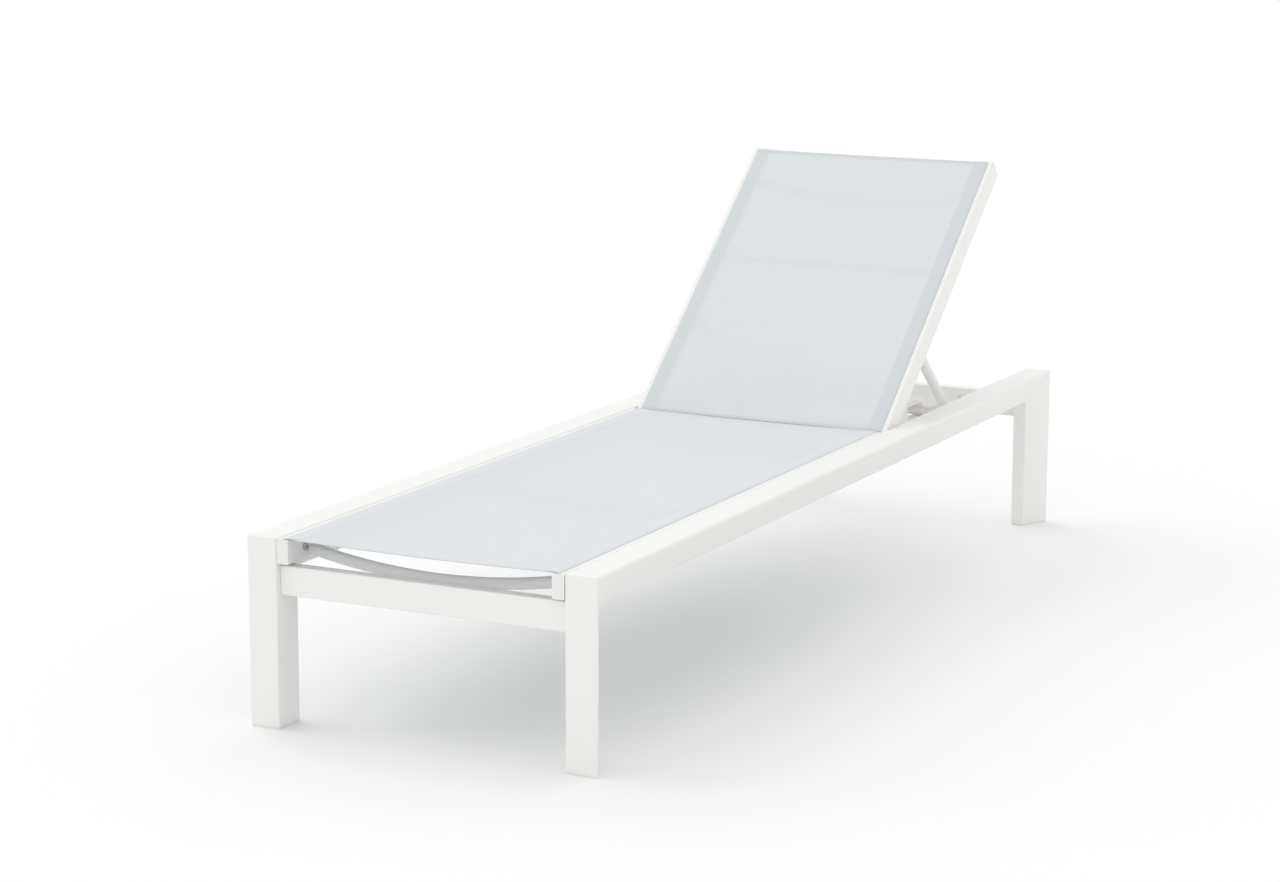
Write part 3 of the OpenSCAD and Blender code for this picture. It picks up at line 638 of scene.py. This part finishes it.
    def build(self, finishes: Finishes) -> None:
        """Args:
            finishes: The lounger's materials.
        """
        # The backrest takes the darker hem copy, which carries painted shade.
        hem = finishes.seat_hem if self.body is Body.FRAME else finishes.back_hem_shaded
        weave = finishes.by_slot[Slot.SLING_FABRIC]
        sheet = add_object(self.name, self.sheet_mesh(), [weave, hem, finishes.weave_under])
        stitches = add_object(f"{self.name}_stitches", self.stitch_mesh(), [hem])
        pockets = add_object(f"{self.name}_pockets", self.pocket_mesh(), [hem])
        for piece in (sheet, stitches, pockets):
            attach(piece, self.body.value)
        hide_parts(self.node)
        LOG.info("%s is stretched between %s", self.name, ", ".join(self.rests_on))


def join_layers(build: bmesh.types.BMesh, lower: Grid, upper: Grid) -> tuple[Faces, set[bmesh.types.BMFace]]:
    """Joins two grids of vertices into a closed sheet.

    Args:
        build: The mesh being built.
        lower: The lower layer's vertices, in rows.
        upper: The upper layer's vertices, in the same rows.

    Returns:
        All the faces, and the lower layer's faces.
    """
    rows, columns = len(lower) - 1, len(lower[0]) - 1
    faces = []
    under = set()
    for j in range(rows):
        for i in range(columns):
            for grid, flip in ((lower, True), (upper, False)):
                quad = [grid[j][i], grid[j][i + 1], grid[j + 1][i + 1], grid[j + 1][i]]
                faces.append(build.faces.new(quad[::-1] if flip else quad))
                if flip:
                    under.add(faces[-1])
    for j in range(rows):
        for i, flip in ((0, False), (columns, True)):
            quad = [lower[j][i], upper[j][i], upper[j + 1][i], lower[j + 1][i]]
            faces.append(build.faces.new(quad[::-1] if flip else quad))
    for i in range(columns):
        for j, flip in ((0, True), (rows, False)):
            quad = [lower[j][i], upper[j][i], upper[j][i + 1], lower[j][i + 1]]
            faces.append(build.faces.new(quad[::-1] if flip else quad))
    return faces, under


def add_tube(build: bmesh.types.BMesh, rings: Sequence[Row]) -> None:
    """Joins rings of vertices into a tube with closed ends.

    Args:
        build: The mesh being built.
        rings: The rings in order, each with as many vertices.
    """
    sides = len(rings[0])
    for first, second in zip(rings, rings[1:]):
        for k in range(sides):
            after = (k + 1) % sides
            build.faces.new((first[k], first[after], second[after], second[k]))
    build.faces.new(rings[0][::-1])
    build.faces.new(rings[-1])


def closed_mesh(name: str, build: bmesh.types.BMesh) -> bpy.types.Mesh:
    """Turns the faces of a closed build outwards and makes a mesh of it."""
    bmesh.ops.recalc_face_normals(build, faces=build.faces)
    mesh = bpy.data.meshes.new(name)
    build.to_mesh(mesh)
    build.free()
    return mesh


def add_object(name: str, mesh: bpy.types.Mesh, materials: Sequence[bpy.types.Material]) -> bpy.types.Object:
    """Links a mesh to the scene as an object.

    Args:
        name: The object's name.
        mesh: Its mesh, in the lounger's frame.
        materials: Its materials, in slot order.

    Returns:
        The new object.
    """
    for material in materials:
        mesh.materials.append(material)
    piece = bpy.data.objects.new(name, mesh)
    bpy.context.scene.collection.objects.link(piece)
    return piece


@dataclass
class Slings:
    """The seat's and the backrest's slings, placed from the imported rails."""

    frame: dict
    end_inset: float = 4 * MM
    hinge_inset: float = 1 * MM
    back_start: float = 5 * MM
    back_inset: float = 3 * MM
    back_reach: float = 718 * MM

    def hinge(self) -> Vector:
        """The place of the backrest's hinge pin."""
        return Vector(self.joint("back_recline")["pos_m"])

    def joint(self, name: str) -> dict:
        """Finds a joint of the record by its name."""
        return next(joint for joint in self.frame["joints"] if joint["name"] == name)

    def build(self, finishes: Finishes) -> None:
        """Makes both slings.

        Args:
            finishes: The lounger's materials.
        """
        low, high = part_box("right_seat_rail")
        cap_low, cap_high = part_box("seat_rail_caps")
        hinge = self.hinge()
        angle = math.radians(-self.joint("back_recline")["range_deg"][0])
        centre, top = (low.x + high.x) / 2, high.z
        shared = dict(groove_x=centre, rail_inner_x=low.x)
        start = cap_low.y + self.end_inset
        reach = self.back_reach - self.back_inset
        SlingSheet(
            name="seat_sling_weave",
            node="seat_sling",
            body=Body.FRAME,
            placement=Matrix.Translation((0, 0, top)),
            free_end=start,
            start=start,
            end=cap_high.y - self.hinge_inset,
            edge_sag=3 * MM,
            middle_sag=5 * MM,
            rests_on=("left_seat_rail", "right_seat_rail"),
            **shared,
        ).build(finishes)
        placement = (
            Matrix.Translation(hinge) @ Matrix.Rotation(angle, 4, "X") @ Matrix.Translation((0, 0, top - hinge.z))
        )
        SlingSheet(
            name="back_sling_weave",
            node="backrest_sling",
            body=Body.BACKREST,
            placement=placement,
            free_end=reach,
            start=self.back_start,
            end=reach,
            edge_sag=1.5 * MM,
            middle_sag=3 * MM,
            rests_on=("left_back_rail", "right_back_rail"),
            **shared,
        ).build(finishes)


@dataclass(frozen=True)
class Lamp:
    """A broad, distant lamp: where it stands, its strength and its width in degrees."""

    name: str
    stands: Vector
    strength: float
    width: float

    def build(self) -> None:
        """Hangs the lamp, turned towards the lounger."""
        light = bpy.data.lights.new(self.name, "SUN")
        light.energy = self.strength
        light.angle = math.radians(self.width)
        lamp = bpy.data.objects.new(self.name, light)
        lamp.location = self.stands
        lamp.rotation_euler = (-self.stands).to_track_quat("-Z", "Y").to_euler()
        bpy.context.scene.collection.objects.link(lamp)


@dataclass
class Studio:
    """A pale floor, soft light from the upper left, and the camera."""

    floor_radius: float = 60.0
    floor_colour: Colour = (0.92, 0.92, 0.92)
    sky_strength: float = 0.97
    lamps: tuple[Lamp, ...] = (
        Lamp("key_light", Vector((-1.0, 0.15, 0.62)), 0.75, 70.0),
    )
    camera_place: Vector = field(default_factory=lambda: Vector((2.6165, -5.4030, 1.5405)))
    camera_azimuth: float = 26.87
    camera_pitch: float = 11.43
    camera_roll: float = 0.10
    lens: float = 92.31

    def build_floor(self) -> None:
        """Lays the floor, a flat many-sided disc."""
        mesh = bpy.data.meshes.new("studio_floor")
        build = bmesh.new()
        bmesh.ops.create_circle(build, cap_ends=True, segments=96, radius=self.floor_radius)
        build.to_mesh(mesh)
        build.free()
        graph = ShaderGraph("studio_floor")
        graph.set(Base_Color=(*self.floor_colour, 1.0), Roughness=0.9, Specular_IOR_Level=0.0)
        add_object("studio_floor", mesh, [graph.material])

    def build_lights(self) -> None:
        """Sets the even surrounding light and hangs the lamps."""
        world = bpy.data.worlds.new("studio")
        world.use_nodes = True
        background = world.node_tree.nodes["Background"]
        background.inputs["Color"].default_value = (1.0, 1.0, 1.0, 1.0)
        background.inputs["Strength"].default_value = self.sky_strength
        bpy.context.scene.world = world
        for lamp in self.lamps:
            lamp.build()

    def build_camera(self) -> None:
        """Stands the camera where the photograph was taken from."""
        data = bpy.data.cameras.new("camera")
        data.lens = self.lens
        data.sensor_width = 36.0
        data.clip_end = 200.0
        camera = bpy.data.objects.new("camera", data)
        turn = (
            Matrix.Rotation(math.radians(self.camera_azimuth), 4, "Z")
            @ Matrix.Rotation(math.radians(90 - self.camera_pitch), 4, "X")
            @ Matrix.Rotation(math.radians(self.camera_roll), 4, "Z")
        )
        camera.matrix_world = Matrix.Translation(self.camera_place) @ turn
        bpy.context.scene.collection.objects.link(camera)
        bpy.context.scene.camera = camera

    def build(self) -> None:
        """Builds the whole studio."""
        self.build_floor()
        self.build_lights()
        self.build_camera()
        bpy.context.scene.view_settings.view_transform = "Standard"


def main() -> None:
    """Dresses the lounger and stands it in the studio."""
    logging.basicConfig(level=logging.INFO, format="%(name)s: %(message)s")
    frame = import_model()
    finishes = Finishes().make()
    LOG.info("dressed %d packed solids", finishes.dress_nodes(frame))
    Slings(frame).build(finishes)
    Studio().build()


if __name__ == "__main__":
    main()
